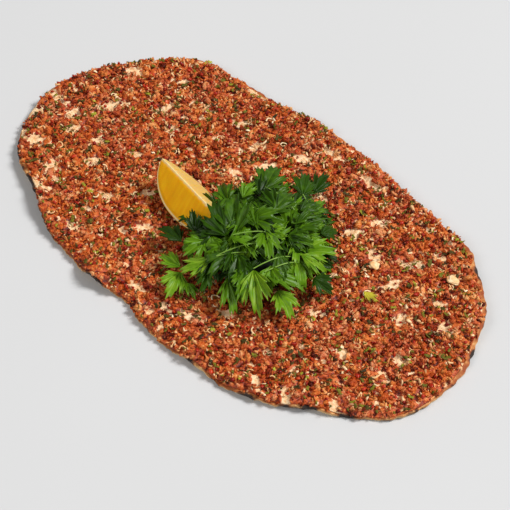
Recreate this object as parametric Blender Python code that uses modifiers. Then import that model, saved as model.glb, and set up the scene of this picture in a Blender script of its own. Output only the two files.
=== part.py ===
# Lahmacun: a thin oval flatbread under a crumbly layer of minced meat, with a lemon
# wedge and a bunch of flat-leaf parsley laid on top. Metres, +Z up, +X along the bread.
import math

import bmesh
import bpy
from mathutils import Matrix
from mathutils import Vector
from mathutils import noise

for leftover in list(bpy.data.objects):
    bpy.data.objects.remove(leftover, do_unlink=True)

# ---- Driving dimensions ---------------------------------------------------------
MM = 0.001
HALF_LENGTH = 180.2 * MM
HALF_WIDTH = 101.4 * MM
SQUARENESS = 2.5  # 2 is an ellipse, larger fills the corners
DOUGH_THICKNESS = 3.0 * MM
DOUGH_EDGE_ROUND = 0.9 * MM
CLEARANCE = 0.4 * MM  # air left between neighbouring sub-parts
MINCE_THICKNESS = 3.4 * MM
MINCE_RELIEF = 0.9 * MM
MINCE_MARGIN = 3.0 * MM  # mean width of the dough left bare at the rim
LAYER_CELLS = 30  # squares across each layer; both layers share them
RIM_CROWDING = 0.5  # 0 spaces the squares evenly, more crowds them towards the rim

# Hand-rolled outline: bearing in degrees, half-spread in degrees, push in mm.
OUTLINE_BUMPS = [
    (-156, 4, 1.5),
    (-144, 7, -4.0),
    (-128, 6, 1.5),
    (-108, 6, 2.5),
    (-92, 8, -4.5),
    (-69, 9, 1.5),
    (-47, 5, 1.5),
    (-26, 9, -8.5),
    (-18, 4, -2.0),
    (12, 5, -3.0),
    (36, 6, 5.0),
    (62, 12, -2.5),
    (126, 14, -7.0),
    (147, 6, 5.5),
    (165, 11, -8.5),
]

# Where the baked rim curls up: bearing, half-spread, rise in mm, reach inwards in mm.
RIM_LIFTS = [
    (178, 20, 5.0, 20),
    (-143, 13, 7.0, 13),
    (-106, 6, 8.0, 15),
    (-78, 8, 1.5, 10),
    (-59, 6, 3.0, 10),
    (-42, 6, 3.0, 10),
    (-29, 6, 3.5, 11),
    (-10, 7, 2.0, 10),
    (18, 9, 4.0, 13),
    (33, 6, 3.0, 11),
    (66, 9, 2.0, 12),
    (128, 9, 2.5, 12),
]

LEMON_MIDDLE = (-23.6 * MM, -20.8 * MM)
LEMON_BEARING = math.radians(-6.7)
LEMON_LENGTH = 66.0 * MM
LEMON_RADIUS = 23.6 * MM
LEMON_MERIDIANS = 48
WEDGE_MERIDIANS = 11  # the wedge spans this many of the meridians' gaps
LEMON_FULLNESS = 2.2  # 2 is an ellipsoid, larger blunts the tips

PARSLEY_MIDDLE = (28.0 * MM, -8.0 * MM)
PARSLEY_HEIGHT = 27.0 * MM
PARSLEY_RIM = 3.0 * MM
# Reach of the bunch, in mm, every 15 degrees anticlockwise from +X.
PARSLEY_REACH = [56, 50, 45, 48, 52, 50, 62, 79, 68, 65, 56, 44,
                 34, 40, 56, 69, 71, 76, 59, 60, 58, 56, 66, 53]
PARSLEY_LEAVES = 23  # leaf tips standing out round the edge
PARSLEY_NOTCH = 6.0 * MM  # how far the gaps between the tips run in
PARSLEY_SECTORS = 92
PARSLEY_RINGS = 18

# Bits big enough to lift off: name, x, y, length, width, height in mm, turn in degrees.
LARGE_BITS = [
    ("onion_piece_large", 89.0, 33.0, 9.0, 7.5, 2.6, 30.0),
    ("onion_piece_small", 132.0, 59.0, 9.5, 7.0, 2.4, -20.0),
    ("leaf_piece", 105.0, 12.0, 12.0, 8.0, 1.6, 15.0),
]


# ---- Collections, parent and materials -------------------------------------------
part_collection = bpy.data.collections.new("lahmacun")
bpy.context.scene.collection.children.link(part_collection)
cutter_collection = bpy.data.collections.new("cutters")
bpy.context.scene.collection.children.link(cutter_collection)
bread_centre = bpy.data.objects.new("bread_centre", None)
part_collection.objects.link(bread_centre)


def food_material(name, colour, roughness):
    """Make a plain Principled material for one sub-part."""
    material = bpy.data.materials.new(name)
    material.use_nodes = True
    shader = material.node_tree.nodes["Principled BSDF"]
    shader.inputs["Base Color"].default_value = (*colour, 1.0)
    shader.inputs["Roughness"].default_value = roughness
    return material


def adopt(piece, name, material, collection):
    """Name a newly added object, give it its material and hang it under the parent."""
    for holder in list(piece.users_collection):
        holder.objects.unlink(piece)
    collection.objects.link(piece)
    piece.name = name
    piece.data.name = name
    piece.data.materials.append(material)
    piece.parent = bread_centre
    return piece


# ---- Plan shape and rim lifts ------------------------------------------------------
def bearing_gap(bearing, centre):
    """Signed difference of two bearings in degrees."""
    return (bearing - centre + 180.0) % 360.0 - 180.0


def outline_radius(angle):
    """Distance from the middle of the bread to its edge at one bearing."""
    along = abs(math.cos(angle) / HALF_LENGTH) ** SQUARENESS
    across = abs(math.sin(angle) / HALF_WIDTH) ** SQUARENESS
    radius = (along + across) ** (-1.0 / SQUARENESS)
    degrees = math.degrees(angle)
    for centre, spread, push in OUTLINE_BUMPS:
        radius += push * MM * math.exp(-(bearing_gap(degrees, centre) / spread) ** 2)
    return radius


def inwards_of_rim(x, y):
    """How far a plan position lies inside the edge of the bread."""
    return max(outline_radius(math.atan2(y, x)) - math.hypot(x, y), 0.0)


def lift(x, y):
    """Height of the underside above the table; only the rim curls up."""
    inwards = inwards_of_rim(x, y)
    degrees = math.degrees(math.atan2(y, x))
    height = 0.0
    for centre, spread, rise, reach in RIM_LIFTS:
        around = math.exp(-(bearing_gap(degrees, centre) / spread) ** 2)
        height += rise * MM * around * math.exp(-(inwards / (reach * MM)) ** 1.6)
    return max(height - 0.15 * MM, 0.0)


def skin(x, y, height):
    """Point at a height above the underside, measured square to the bread."""
    step = 0.5 * MM
    slope_x = (lift(x + step, y) - lift(x - step, y)) / (2.0 * step)
    slope_y = (lift(x, y + step) - lift(x, y - step)) / (2.0 * step)
    normal = Vector((-slope_x, -slope_y, 1.0)).normalized()
    return Vector((x, y, lift(x, y))) + normal * height


def plan_point(u, v, margin):
    """Map a square from -1 to 1 onto the bread outline, drawn in by a margin."""
    reach = max(abs(u), abs(v))
    if reach < 1e-9:
        return 0.0, 0.0
    if abs(u) >= abs(v):
        turn = math.pi / 4.0 * (v / u)
        if u < 0.0:
            turn += math.pi
    else:
        turn = math.pi / 2.0 - math.pi / 4.0 * (u / v)
        if v < 0.0:
            turn += math.pi
    angle = math.atan2(HALF_WIDTH * math.sin(turn), HALF_LENGTH * math.cos(turn))
    reach += RIM_CROWDING * reach * (1.0 - reach)
    radius = reach * (outline_radius(angle) - margin(angle))
    return radius * math.cos(angle), radius * math.sin(angle)


def draped_sheet(name, margin, height, material):
    """Grid pulled to the bread's plan shape and draped at a height over its underside."""
    bpy.ops.mesh.primitive_grid_add(x_subdivisions=LAYER_CELLS, y_subdivisions=LAYER_CELLS,
                                    size=2.0)
    sheet = adopt(bpy.context.object, name, material, part_collection)
    for vertex in sheet.data.vertices:
        x, y = plan_point(vertex.co.x, vertex.co.y, margin)
        vertex.co = skin(x, y, height(x, y))
    return sheet


# ---- Flatbread ---------------------------------------------------------------------
def no_margin(angle):
    return 0.0


def underside_height(x, y):
    return 0.0


dough = food_material("Baked dough", (0.62, 0.36, 0.16), 0.75)
bread = draped_sheet("flatbread", no_margin, underside_height, dough)
rolled = bread.modifiers.new("Rolled thickness", 'SOLIDIFY')
rolled.thickness = DOUGH_THICKNESS
rolled.offset = 1.0
rim_round = bread.modifiers.new("Rounded rim", 'BEVEL')
rim_round.width = DOUGH_EDGE_ROUND
rim_round.segments = 2
rim_round.limit_method = 'ANGLE'
rim_round.angle_limit = math.radians(55.0)


# ---- Mince layer ---------------------------------------------------------------------
def mince_margin(angle):
    """Bare dough left at the rim, wandering round the bread."""
    place = Vector((math.cos(angle), math.sin(angle), 0.3))
    return MINCE_MARGIN + 1.5 * MM * noise.noise(place * 3.1)


def mince_bottom_height(x, y):
    """Rides just clear of the dough, a touch more where the rim curls tightly."""
    return DOUGH_THICKNESS + CLEARANCE + 0.07 * lift(x, y)


def mince_thickness(x, y):
    """Lumpy spread of meat, thinning where it nears the rim."""
    place = Vector((x, y, 0.0)) / (16.0 * MM)
    lumps = noise.noise(place) + 0.5 * noise.noise(place * 2.3)
    thinning = 1.3 * MM * math.exp(-(inwards_of_rim(x, y) / (6.0 * MM)) ** 2)
    return MINCE_THICKNESS + MINCE_RELIEF * lumps - thinning


mince = food_material("Cooked mince", (0.40, 0.12, 0.04), 0.6)
mince_layer = draped_sheet("mince_topping", mince_margin, mince_bottom_height, mince)
most_mince = MINCE_THICKNESS + 2.0 * MINCE_RELIEF
spread_group = mince_layer.vertex_groups.new(name="spread")
for vertex in mince_layer.data.vertices:
    share = mince_thickness(vertex.co.x, vertex.co.y) / most_mince
    spread_group.add([vertex.index], min(max(share, 0.0), 1.0), 'REPLACE')
spread_meat = mince_layer.modifiers.new("Spread meat", 'SOLIDIFY')
spread_meat.thickness = most_mince
spread_meat.offset = 1.0
spread_meat.vertex_group = "spread"


def mince_level(x, y, reach):
    """Highest point of the mince within a reach of one plan position."""
    level = 0.0
    for step in range(24):
        angle = 2.0 * math.pi * step / 24.0
        for share in (0.0, 0.5, 1.0, 1.5):
            px = x + share * reach * math.cos(angle)
            py = y + share * reach * math.sin(angle)
            height = mince_bottom_height(px, py) + mince_thickness(px, py)
            level = max(level, lift(px, py) + height)
    return level


# ---- Lemon wedge ---------------------------------------------------------------------
def lemon_body(name, collection):
    """Whole lemon along X from a sphere, cut by two planes through its core."""
    bpy.ops.mesh.primitive_uv_sphere_add(segments=LEMON_MERIDIANS, ring_count=20, radius=1.0)
    piece = adopt(bpy.context.object, name, lemon_flesh, collection)
    body = bmesh.new()
    body.from_mesh(piece.data)
    for vertex in body.verts:
        along = vertex.co.z
        girth = math.sqrt(max(1.0 - abs(along) ** LEMON_FULLNESS, 0.0))
        plain = max(math.hypot(vertex.co.x, vertex.co.y), 1e-6)
        radial = LEMON_RADIUS * girth / plain
        vertex.co = (along * LEMON_LENGTH / 2.0, vertex.co.x * radial, vertex.co.y * radial)
    half = math.pi * WEDGE_MERIDIANS / LEMON_MERIDIANS
    bmesh.ops.rotate(body, verts=body.verts, cent=(0.0, 0.0, 0.0),
                     matrix=Matrix.Rotation(half - math.pi / 2.0, 3, 'X'))
    for side in (-1.0, 1.0):
        outwards = Vector((0.0, side * math.cos(half), math.sin(half)))
        bmesh.ops.bisect_plane(body, geom=body.verts[:] + body.edges[:] + body.faces[:],
                               dist=0.01 * MM, plane_co=(0.0, 0.0, 0.0), plane_no=outwards,
                               clear_outer=True)
        rim = [edge for edge in body.edges if edge.is_boundary]
        bmesh.ops.holes_fill(body, edges=rim)
    bmesh.ops.recalc_face_normals(body, faces=body.faces)
    body.to_mesh(piece.data)
    body.free()
    return piece


lemon_flesh = food_material("Lemon", (0.85, 0.60, 0.08), 0.35)
lemon = lemon_body("lemon_wedge", part_collection)
lemon_x, lemon_y = LEMON_MIDDLE
lemon_z = mince_level(lemon_x, lemon_y, 12.0 * MM) + CLEARANCE + LEMON_RADIUS
lemon.location = (lemon_x, lemon_y, lemon_z)
lemon.rotation_euler = (0.0, 0.0, LEMON_BEARING)


# ---- Parsley bunch -------------------------------------------------------------------
def parsley_reach(angle):
    """Reach of the bunch at a bearing, with the leaf tips sticking out."""
    turn = (math.degrees(angle) % 360.0) / 15.0
    index = int(turn) % 24
    share = turn - int(turn)
    smooth = share * share * (3.0 - 2.0 * share)
    reach = PARSLEY_REACH[index] * (1.0 - smooth) + PARSLEY_REACH[(index + 1) % 24] * smooth
    wander = noise.noise(Vector((math.cos(angle), math.sin(angle), 0.7)) * 2.5)
    notch = 0.5 - 0.5 * math.cos(angle * PARSLEY_LEAVES + 1.6 * wander)
    return reach * MM - PARSLEY_NOTCH * notch


def parsley_top(x, y, share):
    """Height of the bunch above its underside: a low mound of leafy clumps."""
    place = Vector((x, y, 0.02)) / (11.0 * MM)
    clumps = noise.noise(place) + 0.6 * noise.noise(place * 2.1)
    dome = (PARSLEY_HEIGHT - PARSLEY_RIM) * (1.0 - share ** 2.4)
    return PARSLEY_RIM + max(dome + 6.5 * MM * clumps * (1.0 - share ** 5), 0.0)


leaf_green = food_material("Parsley leaves", (0.07, 0.20, 0.03), 0.5)
bpy.ops.mesh.primitive_uv_sphere_add(segments=PARSLEY_SECTORS, ring_count=PARSLEY_RINGS,
                                     radius=1.0)
parsley = adopt(bpy.context.object, "parsley_bunch", leaf_green, part_collection)
mound = bmesh.new()
mound.from_mesh(parsley.data)
bmesh.ops.bisect_plane(mound, geom=mound.verts[:] + mound.edges[:] + mound.faces[:],
                       dist=1e-4, plane_co=(0.0, 0.0, 0.0), plane_no=(0.0, 0.0, -1.0),
                       clear_outer=True)
mouth = [edge for edge in mound.edges if edge.is_boundary]
bmesh.ops.extrude_edge_only(mound, edges=mouth)
base_edges = [edge for edge in mound.edges if edge.is_boundary]
base_verts = {vertex for edge in base_edges for vertex in edge.verts}
bmesh.ops.holes_fill(mound, edges=base_edges)
parsley_x, parsley_y = PARSLEY_MIDDLE
for vertex in mound.verts:
    polar = math.acos(min(max(vertex.co.z, 0.0), 1.0))
    bearing = math.atan2(vertex.co.y, vertex.co.x)
    share = polar / (math.pi / 2.0)
    x = share * parsley_reach(bearing) * math.cos(bearing)
    y = share * parsley_reach(bearing) * math.sin(bearing)
    top = 0.0 if vertex in base_verts else parsley_top(parsley_x + x, parsley_y + y, share)
    vertex.co = (x, y, top)
bmesh.ops.recalc_face_normals(mound, faces=mound.faces)
mound.to_mesh(parsley.data)
mound.free()
parsley.location = (parsley_x, parsley_y, mince_level(parsley_x, parsley_y, 48.0 * MM)
                    + CLEARANCE)

lemon_room = lemon_body("lemon_room", cutter_collection)
ROOM_SCALE = 1.06
room_drop = 0.6 * LEMON_RADIUS * (ROOM_SCALE - 1.0)
lemon_room.location = (lemon_x, lemon_y, lemon_z + room_drop)
lemon_room.rotation_euler = (0.0, 0.0, LEMON_BEARING)
lemon_room.scale = (ROOM_SCALE, ROOM_SCALE, ROOM_SCALE)
lemon_room.hide_render = True
lemon_room.display_type = 'WIRE'
make_room = parsley.modifiers.new("Room for the lemon", 'BOOLEAN')
make_room.operation = 'DIFFERENCE'
make_room.solver = 'EXACT'
make_room.object = lemon_room

# ---- Larger bits lying on the mince ----------------------------------------------------
onion = food_material("Cooked onion", (0.80, 0.62, 0.42), 0.45)
leaf_bit = food_material("Chopped parsley leaf", (0.36, 0.40, 0.03), 0.5)
for bit_name, bx, by, bit_length, bit_width, bit_height, bit_turn in LARGE_BITS:
    bpy.ops.mesh.primitive_ico_sphere_add(subdivisions=3, radius=1.0)
    bit_look = leaf_bit if bit_name == "leaf_piece" else onion
    bit = adopt(bpy.context.object, bit_name, bit_look, part_collection)
    for vertex in bit.data.vertices:
        wobble = 1.0 + 0.25 * noise.noise(vertex.co * 1.3 + Vector((bx, by, 0.0)))
        vertex.co.x *= wobble * bit_length * MM / 2.0
        vertex.co.y *= wobble * bit_width * MM / 2.0
        vertex.co.z *= bit_height * MM / 2.0
    level = mince_level(bx * MM, by * MM, 0.4 * bit_length * MM) + CLEARANCE
    bit.location = (bx * MM, by * MM, level + bit_height * MM / 2.0)
    bit.rotation_euler = (0.0, 0.0, math.radians(bit_turn))

# ---- Centre the part over the origin -----------------------------------------------------
low_x = min(vertex.co.x for vertex in bread.data.vertices)
high_x = max(vertex.co.x for vertex in bread.data.vertices)
low_y = min(vertex.co.y for vertex in bread.data.vertices)
high_y = max(vertex.co.y for vertex in bread.data.vertices)
bread_centre.location = (-0.5 * (low_x + high_x), -0.5 * (low_y + high_y), 0.0)
for piece in list(part_collection.objects) + list(cutter_collection.objects):
    if piece.type == 'MESH':
        piece.data.shade_smooth()
        piece.data.set_sharp_from_angle(angle=math.radians(40.0))
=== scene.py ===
# %% [markdown]
# # A lahmacun: thin flatbread, spiced mince, a lemon wedge and a bunch of parsley
#
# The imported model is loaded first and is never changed. Every piece below is modelled
# over one of its parts and then stands for it: the dough, the meat, the lemon, the
# herbs and three larger bits. All lengths are metres, with Z up and X along the bread.

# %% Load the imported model
import math

import bpy
import numpy as np
from mathutils import Matrix, Vector, noise


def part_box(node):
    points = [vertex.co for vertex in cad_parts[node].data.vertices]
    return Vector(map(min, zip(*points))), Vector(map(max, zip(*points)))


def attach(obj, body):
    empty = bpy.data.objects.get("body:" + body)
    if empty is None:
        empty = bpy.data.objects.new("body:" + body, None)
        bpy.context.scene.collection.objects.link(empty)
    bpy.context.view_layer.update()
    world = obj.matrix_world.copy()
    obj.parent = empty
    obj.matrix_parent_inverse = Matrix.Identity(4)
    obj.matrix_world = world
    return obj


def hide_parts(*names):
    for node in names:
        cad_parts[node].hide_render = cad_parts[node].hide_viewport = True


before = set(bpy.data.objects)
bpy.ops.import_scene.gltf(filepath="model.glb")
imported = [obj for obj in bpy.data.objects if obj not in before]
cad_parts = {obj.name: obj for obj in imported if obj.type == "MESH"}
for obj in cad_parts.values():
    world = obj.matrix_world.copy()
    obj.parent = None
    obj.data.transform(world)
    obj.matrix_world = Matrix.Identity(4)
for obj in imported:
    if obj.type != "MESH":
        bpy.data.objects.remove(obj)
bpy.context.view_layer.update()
MM = 0.001
dice = np.random.default_rng(7)

# %% [markdown]
# ## Tools for materials
#
# A colour picked on a screen is sRGB, but a shader works in linear light, so one
# function turns hex colours to linear. One adds any node with its settings and links,
# one fills a colour ramp, and the last starts a material with its gloss and its place.


# %% Colour and node helpers
def linear(hex_colour):
    """Turn an sRGB hex colour into a linear RGBA value."""
    parts = [int(hex_colour[i:i + 2], 16) / 255.0 for i in (1, 3, 5)]
    return tuple(c / 12.92 if c <= 0.04045 else ((c + 0.055) / 1.055) ** 2.4
                 for c in parts) + (1.0,)


def socket_of(source):
    """The socket itself, or a node's first output that is in use."""
    if isinstance(source, bpy.types.Node):
        return next(output for output in source.outputs if output.enabled)
    return source


def add_node(tree, kind, inputs=None, **settings):
    """Add a node, give its settings, and fill or link its input sockets."""
    made = tree.nodes.new("ShaderNode" + kind)
    for key, value in settings.items():
        setattr(made, key, value)
    for key, value in (inputs or {}).items():
        value = socket_of(value)
        if isinstance(value, bpy.types.NodeSocket):
            tree.links.new(value, made.inputs[key])
        else:
            made.inputs[key].default_value = value
    return made


def fill_ramp(ramp, stops):
    """Give a colour ramp its stops, as pairs of position and hex colour."""
    elements = ramp.color_ramp.elements
    while len(elements) < len(stops):
        elements.new(0.5)
    for element, (position, colour) in zip(elements, stops):
        element.position = position
        element.color = linear(colour)
    return ramp.outputs["Color"]


def new_material(name, roughness, ior=1.5, specular=0.5):
    """Start a material; return it with its tree, its shader and the object's place."""
    material = bpy.data.materials.new(name)
    material.use_nodes = True
    tree = material.node_tree
    shader = tree.nodes["Principled BSDF"]
    shader.inputs["Roughness"].default_value = roughness
    shader.inputs["IOR"].default_value = ior
    shader.inputs["Specular IOR Level"].default_value = specular
    return material, tree, shader, add_node(tree, "TexCoord").outputs["Object"]


def colour_and_bump(tree, shader, colour, height, strength, distance):
    """Give a shader its colour, and a bump of the given depth from a height."""
    bump = add_node(tree, "Bump",
                    {"Height": height, "Strength": strength, "Distance": distance})
    tree.links.new(bump.outputs[0], shader.inputs["Normal"])
    tree.links.new(socket_of(colour), shader.inputs["Base Color"])


# %% [markdown]
# ## Tools for meshes
#
# The bread was laid out round its own middle, and the model was then centred. So each
# piece is modelled in the laid-out place, and is moved by one small step at the end,
# inside its mesh, which leaves its object at the origin.


# %% Mesh helpers
def deselect_all():
    """Leave nothing selected, so that an operator acts only on what comes next."""
    if bpy.context.object and bpy.context.object.mode != 'OBJECT':
        bpy.ops.object.mode_set(mode='OBJECT')
    bpy.ops.object.select_all(action='DESELECT')


def select_only(piece):
    deselect_all()
    piece.select_set(True)
    bpy.context.view_layer.objects.active = piece


def new_piece(name):
    """Name the primitive that was just added and put its place into its mesh."""
    piece = bpy.context.object
    piece.name = name
    piece.data.name = name
    bpy.ops.object.transform_apply(location=True, rotation=True, scale=True)
    return piece


def apply_modifier(piece, kind, **settings):
    """Add a modifier with its settings and apply it at once."""
    select_only(piece)
    modifier = piece.modifiers.new(kind.title(), kind)
    for key, value in settings.items():
        setattr(modifier, key, value)
    bpy.ops.object.modifier_apply(modifier=modifier.name)


def join_pieces(pieces, name):
    """Join pieces into the first of them and name it."""
    select_only(pieces[0])
    for piece in pieces[1:]:
        piece.select_set(True)
    bpy.ops.object.join()
    joined = bpy.context.object
    joined.name = name
    return joined


def read_points(mesh):
    points = np.zeros(len(mesh.vertices) * 3)
    mesh.vertices.foreach_get("co", points)
    return points.reshape(-1, 3)


def write_points(mesh, points):
    mesh.vertices.foreach_set("co", np.asarray(points, float).ravel())
    mesh.update()


def piece_from(name, points, faces):
    """Make an object in the scene from computed points and faces."""
    mesh = bpy.data.meshes.new(name)
    mesh.from_pydata(points, [], faces)
    piece = bpy.data.objects.new(name, mesh)
    bpy.context.scene.collection.objects.link(piece)
    return piece


def write_tone(mesh, name, values):
    """Store one number per vertex for a material to read."""
    layer = mesh.attributes.get(name) or mesh.attributes.new(name, 'FLOAT', 'POINT')
    layer.data.foreach_set("value", np.asarray(values, float).ravel())


def rumple(points, size, seed=0.0):
    """Smooth noise from -1 to 1 at each point, with lumps of the given size."""
    return np.array([noise.noise(Vector((p[0] / size, p[1] / size, p[2] / size + seed)))
                     for p in points])


def flat_places(x, y):
    """Plan positions as points at height nought."""
    return np.stack([x, y, np.zeros_like(x)], axis=1)


def smoothstep(low, high, value):
    share = np.clip((value - low) / (high - low), 0.0, 1.0)
    return share * share * (3.0 - 2.0 * share)


# %% [markdown]
# ## The hand-rolled outline
#
# The dough is rolled to a long oval and stretched by hand, so its edge wanders. These
# are the same bearings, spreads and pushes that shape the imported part, written with
# arrays so that a fine mesh can use them. The rim curls up where the oven caught it.

# %% Outline and rim of the bread
HALF_LENGTH = 180.2 * MM
HALF_WIDTH = 101.4 * MM
SQUARENESS = 2.5
DOUGH_THICKNESS = 3.0 * MM
RIM_CROWDING = 0.5
RIM_THINNING = 1.2 * MM  # how much thinner the crisp edge is than the middle
THIN_RIM = 2.5 * MM  # how far inwards it is thinner

# Bearing in degrees, half-spread in degrees, push in mm.
OUTLINE_BUMPS = [
    (-156, 4, 1.5), (-144, 7, -4.0), (-128, 6, 1.5), (-108, 6, 2.5), (-92, 8, -4.5),
    (-69, 9, 1.5), (-47, 5, 1.5), (-26, 9, -8.5), (-18, 4, -2.0), (12, 5, -3.0),
    (36, 6, 5.0), (62, 12, -2.5), (126, 14, -7.0), (147, 6, 5.5), (165, 11, -8.5),
]

# Bearing, half-spread, rise in mm, reach inwards in mm.
RIM_LIFTS = [
    (178, 20, 5.0, 20), (-143, 13, 7.0, 13), (-106, 6, 8.0, 15), (-78, 8, 1.5, 10),
    (-59, 6, 3.0, 10), (-42, 6, 3.0, 10), (-29, 6, 3.5, 11), (-10, 7, 2.0, 10),
    (18, 9, 4.0, 13), (33, 6, 3.0, 11), (66, 9, 2.0, 12), (128, 9, 2.5, 12),
]


def round_bearing(degrees, centre, spread):
    """1 at a bearing in degrees, falling away over the given spread on both sides."""
    gap = (degrees - centre + 180.0) % 360.0 - 180.0
    return np.exp(-(gap / spread) ** 2)


def outline_radius(angle):
    """Distance from the middle of the bread to its edge at each bearing."""
    along = np.abs(np.cos(angle) / HALF_LENGTH) ** SQUARENESS
    across = np.abs(np.sin(angle) / HALF_WIDTH) ** SQUARENESS
    radius = (along + across) ** (-1.0 / SQUARENESS)
    for centre, spread, push in OUTLINE_BUMPS:
        radius = radius + push * MM * round_bearing(np.degrees(angle), centre, spread)
    return radius


def inwards_of_rim(x, y):
    """How far each plan position lies inside the edge; negative is outside."""
    return outline_radius(np.arctan2(y, x)) - np.hypot(x, y)


def near_rim(x, y, reach):
    """1 at the edge of the bread, falling away over the given reach inwards."""
    return np.exp(-(np.maximum(inwards_of_rim(x, y), 0.0) / reach) ** 2)


def lift(x, y):
    """Height of the underside above the table; only the rim curls up."""
    inwards = np.maximum(inwards_of_rim(x, y), 0.0)
    degrees = np.degrees(np.arctan2(y, x))
    height = np.zeros_like(inwards)
    for centre, spread, rise, reach in RIM_LIFTS:
        around = round_bearing(degrees, centre, spread)
        height += rise * MM * around * np.exp(-(inwards / (reach * MM)) ** 1.6)
    return np.maximum(height - 0.15 * MM, 0.0)


def skin(x, y, height):
    """Points at a height above the underside, measured square to the bread."""
    step = 0.5 * MM
    slope_x = (lift(x + step, y) - lift(x - step, y)) / (2.0 * step)
    slope_y = (lift(x, y + step) - lift(x, y - step)) / (2.0 * step)
    normal = np.stack([-slope_x, -slope_y, np.ones_like(slope_x)], axis=1)
    normal /= np.linalg.norm(normal, axis=1)[:, None]
    return np.stack([x, y, lift(x, y)], axis=1) + normal * np.reshape(height, (-1, 1))


ring = np.radians(np.arange(0.0, 360.0, 0.25))
ring_x = outline_radius(ring) * np.cos(ring)
ring_y = outline_radius(ring) * np.sin(ring)
CENTRING = Vector((-0.5 * (ring_x.min() + ring_x.max()),
                   -0.5 * (ring_y.min() + ring_y.max()), 0.0))
print("bread", round(np.ptp(ring_x) / MM, 1), "by", round(np.ptp(ring_y) / MM, 1), "mm")


# %% Finish a piece and hand it over
def hand_over(piece, material, slot, *nodes):
    """Centre a finished piece, give it its look and let it stand for its CAD nodes."""
    piece.data.transform(Matrix.Translation(CENTRING))
    piece.data.materials.clear()
    piece.data.materials.append(material)
    piece.data.shade_smooth()
    piece.data.update()
    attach(piece, "root")
    if nodes:
        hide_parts(*nodes)
    triangles = sum(len(face.vertices) - 2 for face in piece.data.polygons)
    print(f"{piece.name}: {triangles} triangles")


# %% [markdown]
# ## A sheet drawn to the outline
#
# A square grid is pulled onto the oval, so that rows of faces follow the rim and no
# pole or seam is left in the middle. The dough and the meat both start this way.


# %% Grid pulled onto the outline
def plan_points(square, margin):
    """Map points of a square from -1 to 1 onto the outline, drawn in by a margin."""
    u, v = square[:, 0], square[:, 1]
    reach = np.maximum(np.abs(u), np.abs(v))
    wide = np.abs(u) >= np.abs(v)
    middle = reach < 1e-9
    turn_wide = math.pi / 4.0 * v / np.where(wide & ~middle, u, 1.0)
    turn_tall = math.pi / 4.0 * u / np.where(wide, 1.0, v)
    turn_wide = np.where(u < 0.0, turn_wide + math.pi, turn_wide)
    turn_tall = math.pi / 2.0 - turn_tall
    turn_tall = np.where(v < 0.0, turn_tall + math.pi, turn_tall)
    turn = np.where(wide, turn_wide, turn_tall)
    angle = np.arctan2(HALF_WIDTH * np.sin(turn), HALF_LENGTH * np.cos(turn))
    crowded = reach + RIM_CROWDING * reach * (1.0 - reach)
    radius = crowded * (outline_radius(angle) - margin(angle))
    return radius * np.cos(angle), radius * np.sin(angle)


def oval_grid(name, cells_along, cells_across, margin):
    """Add a grid and pull it flat onto the bread's plan shape."""
    deselect_all()
    bpy.ops.mesh.primitive_grid_add(x_subdivisions=cells_along,
                                    y_subdivisions=cells_across, size=2.0)
    sheet = new_piece(name)
    x, y = plan_points(read_points(sheet.data)[:, :2], margin)
    write_points(sheet.data, flat_places(x, y))
    return sheet


# %% [markdown]
# ## Baked dough
#
# Lahmacun dough is rolled about 3 mm thin and baked for minutes in a very hot oven. Its
# rim is crisp, pale gold where it stayed thick, and black-brown where it caught. The
# underside is freckled like a leopard from the oven floor. Nothing of it shows through
# the middle, so detail goes into the rim: a slightly ragged edge, small blisters, and
# a stored amount of char for the material to read.

# %% Shape the dough
# Where the rim is charred: bearing, half-spread, reach inwards in mm, strength.
CHAR_SPOTS = [
    (-157, 4, 3, 0.8), (-144, 8, 4, 1.0), (-130, 5, 2.5, 0.7), (-105, 6, 3, 0.9),
    (-78, 5, 1.2, 0.6), (-59, 3, 2.5, 0.9), (-51, 2, 1, 0.6), (-42, 3, 3, 0.9),
    (-34, 2, 2, 0.7), (-29, 3, 3, 1.0), (-21, 2.5, 2.5, 0.8), (-9, 2.5, 2.5, 0.8),
    (1, 2, 1.5, 0.5), (9, 2.5, 2, 0.9), (18, 3, 2, 0.8), (30, 5, 3, 0.8),
    (62, 3, 1.2, 0.6), (91, 4, 1.2, 0.6), (118, 3, 1.2, 0.5), (157, 4, 1.5, 0.6),
    (178, 3, 1.5, 0.5),
]


def dough_margin(angle):
    """Small nicks and waves along the torn-looking edge."""
    places = np.stack([np.cos(angle), np.sin(angle), np.full_like(angle, 0.4)], axis=1)
    return 0.7 * MM * rumple(places, 0.06) + 1.1 * MM * rumple(places, 0.022, 3.0)


DOUGH_CELLS = (220, 130)  # along and across
BLISTER_REACH = 6.0 * MM  # how far in from the rim the dough blisters

bread = oval_grid("baked_flatbread", *DOUGH_CELLS, dough_margin)
flat = read_points(bread.data)
blisters = 0.25 * MM * rumple(flat, 9.0 * MM) + 0.15 * MM * rumple(flat, 3.5 * MM, 5.0)
x, y = flat[:, 0], flat[:, 1]
blistered = near_rim(x, y, BLISTER_REACH)
write_points(bread.data, skin(x, y, np.maximum(blisters, 0.0) * blistered))
thick = bread.vertex_groups.new(name="thick")
puffs = (0.78 + 0.22 * np.clip(blisters / (0.3 * MM), -1, 1) * blistered
         - RIM_THINNING / (1.25 * DOUGH_THICKNESS) * near_rim(x, y, THIN_RIM))
for index, puff in enumerate(puffs):
    thick.add([index], float(puff), 'REPLACE')
apply_modifier(bread, 'SOLIDIFY', thickness=DOUGH_THICKNESS / 0.8, offset=1.0,
               vertex_group="thick")
apply_modifier(bread, 'BEVEL', width=0.5 * MM, segments=2, limit_method='ANGLE',
               angle_limit=math.radians(55.0))
dough = read_points(bread.data)
x, y = dough[:, 0], dough[:, 1]
degrees = np.degrees(np.arctan2(y, x))
char = np.zeros(len(dough))
for centre, spread, reach, strength in CHAR_SPOTS:
    char += strength * (round_bearing(degrees, centre, spread)
                        * near_rim(x, y, reach * MM))
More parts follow.
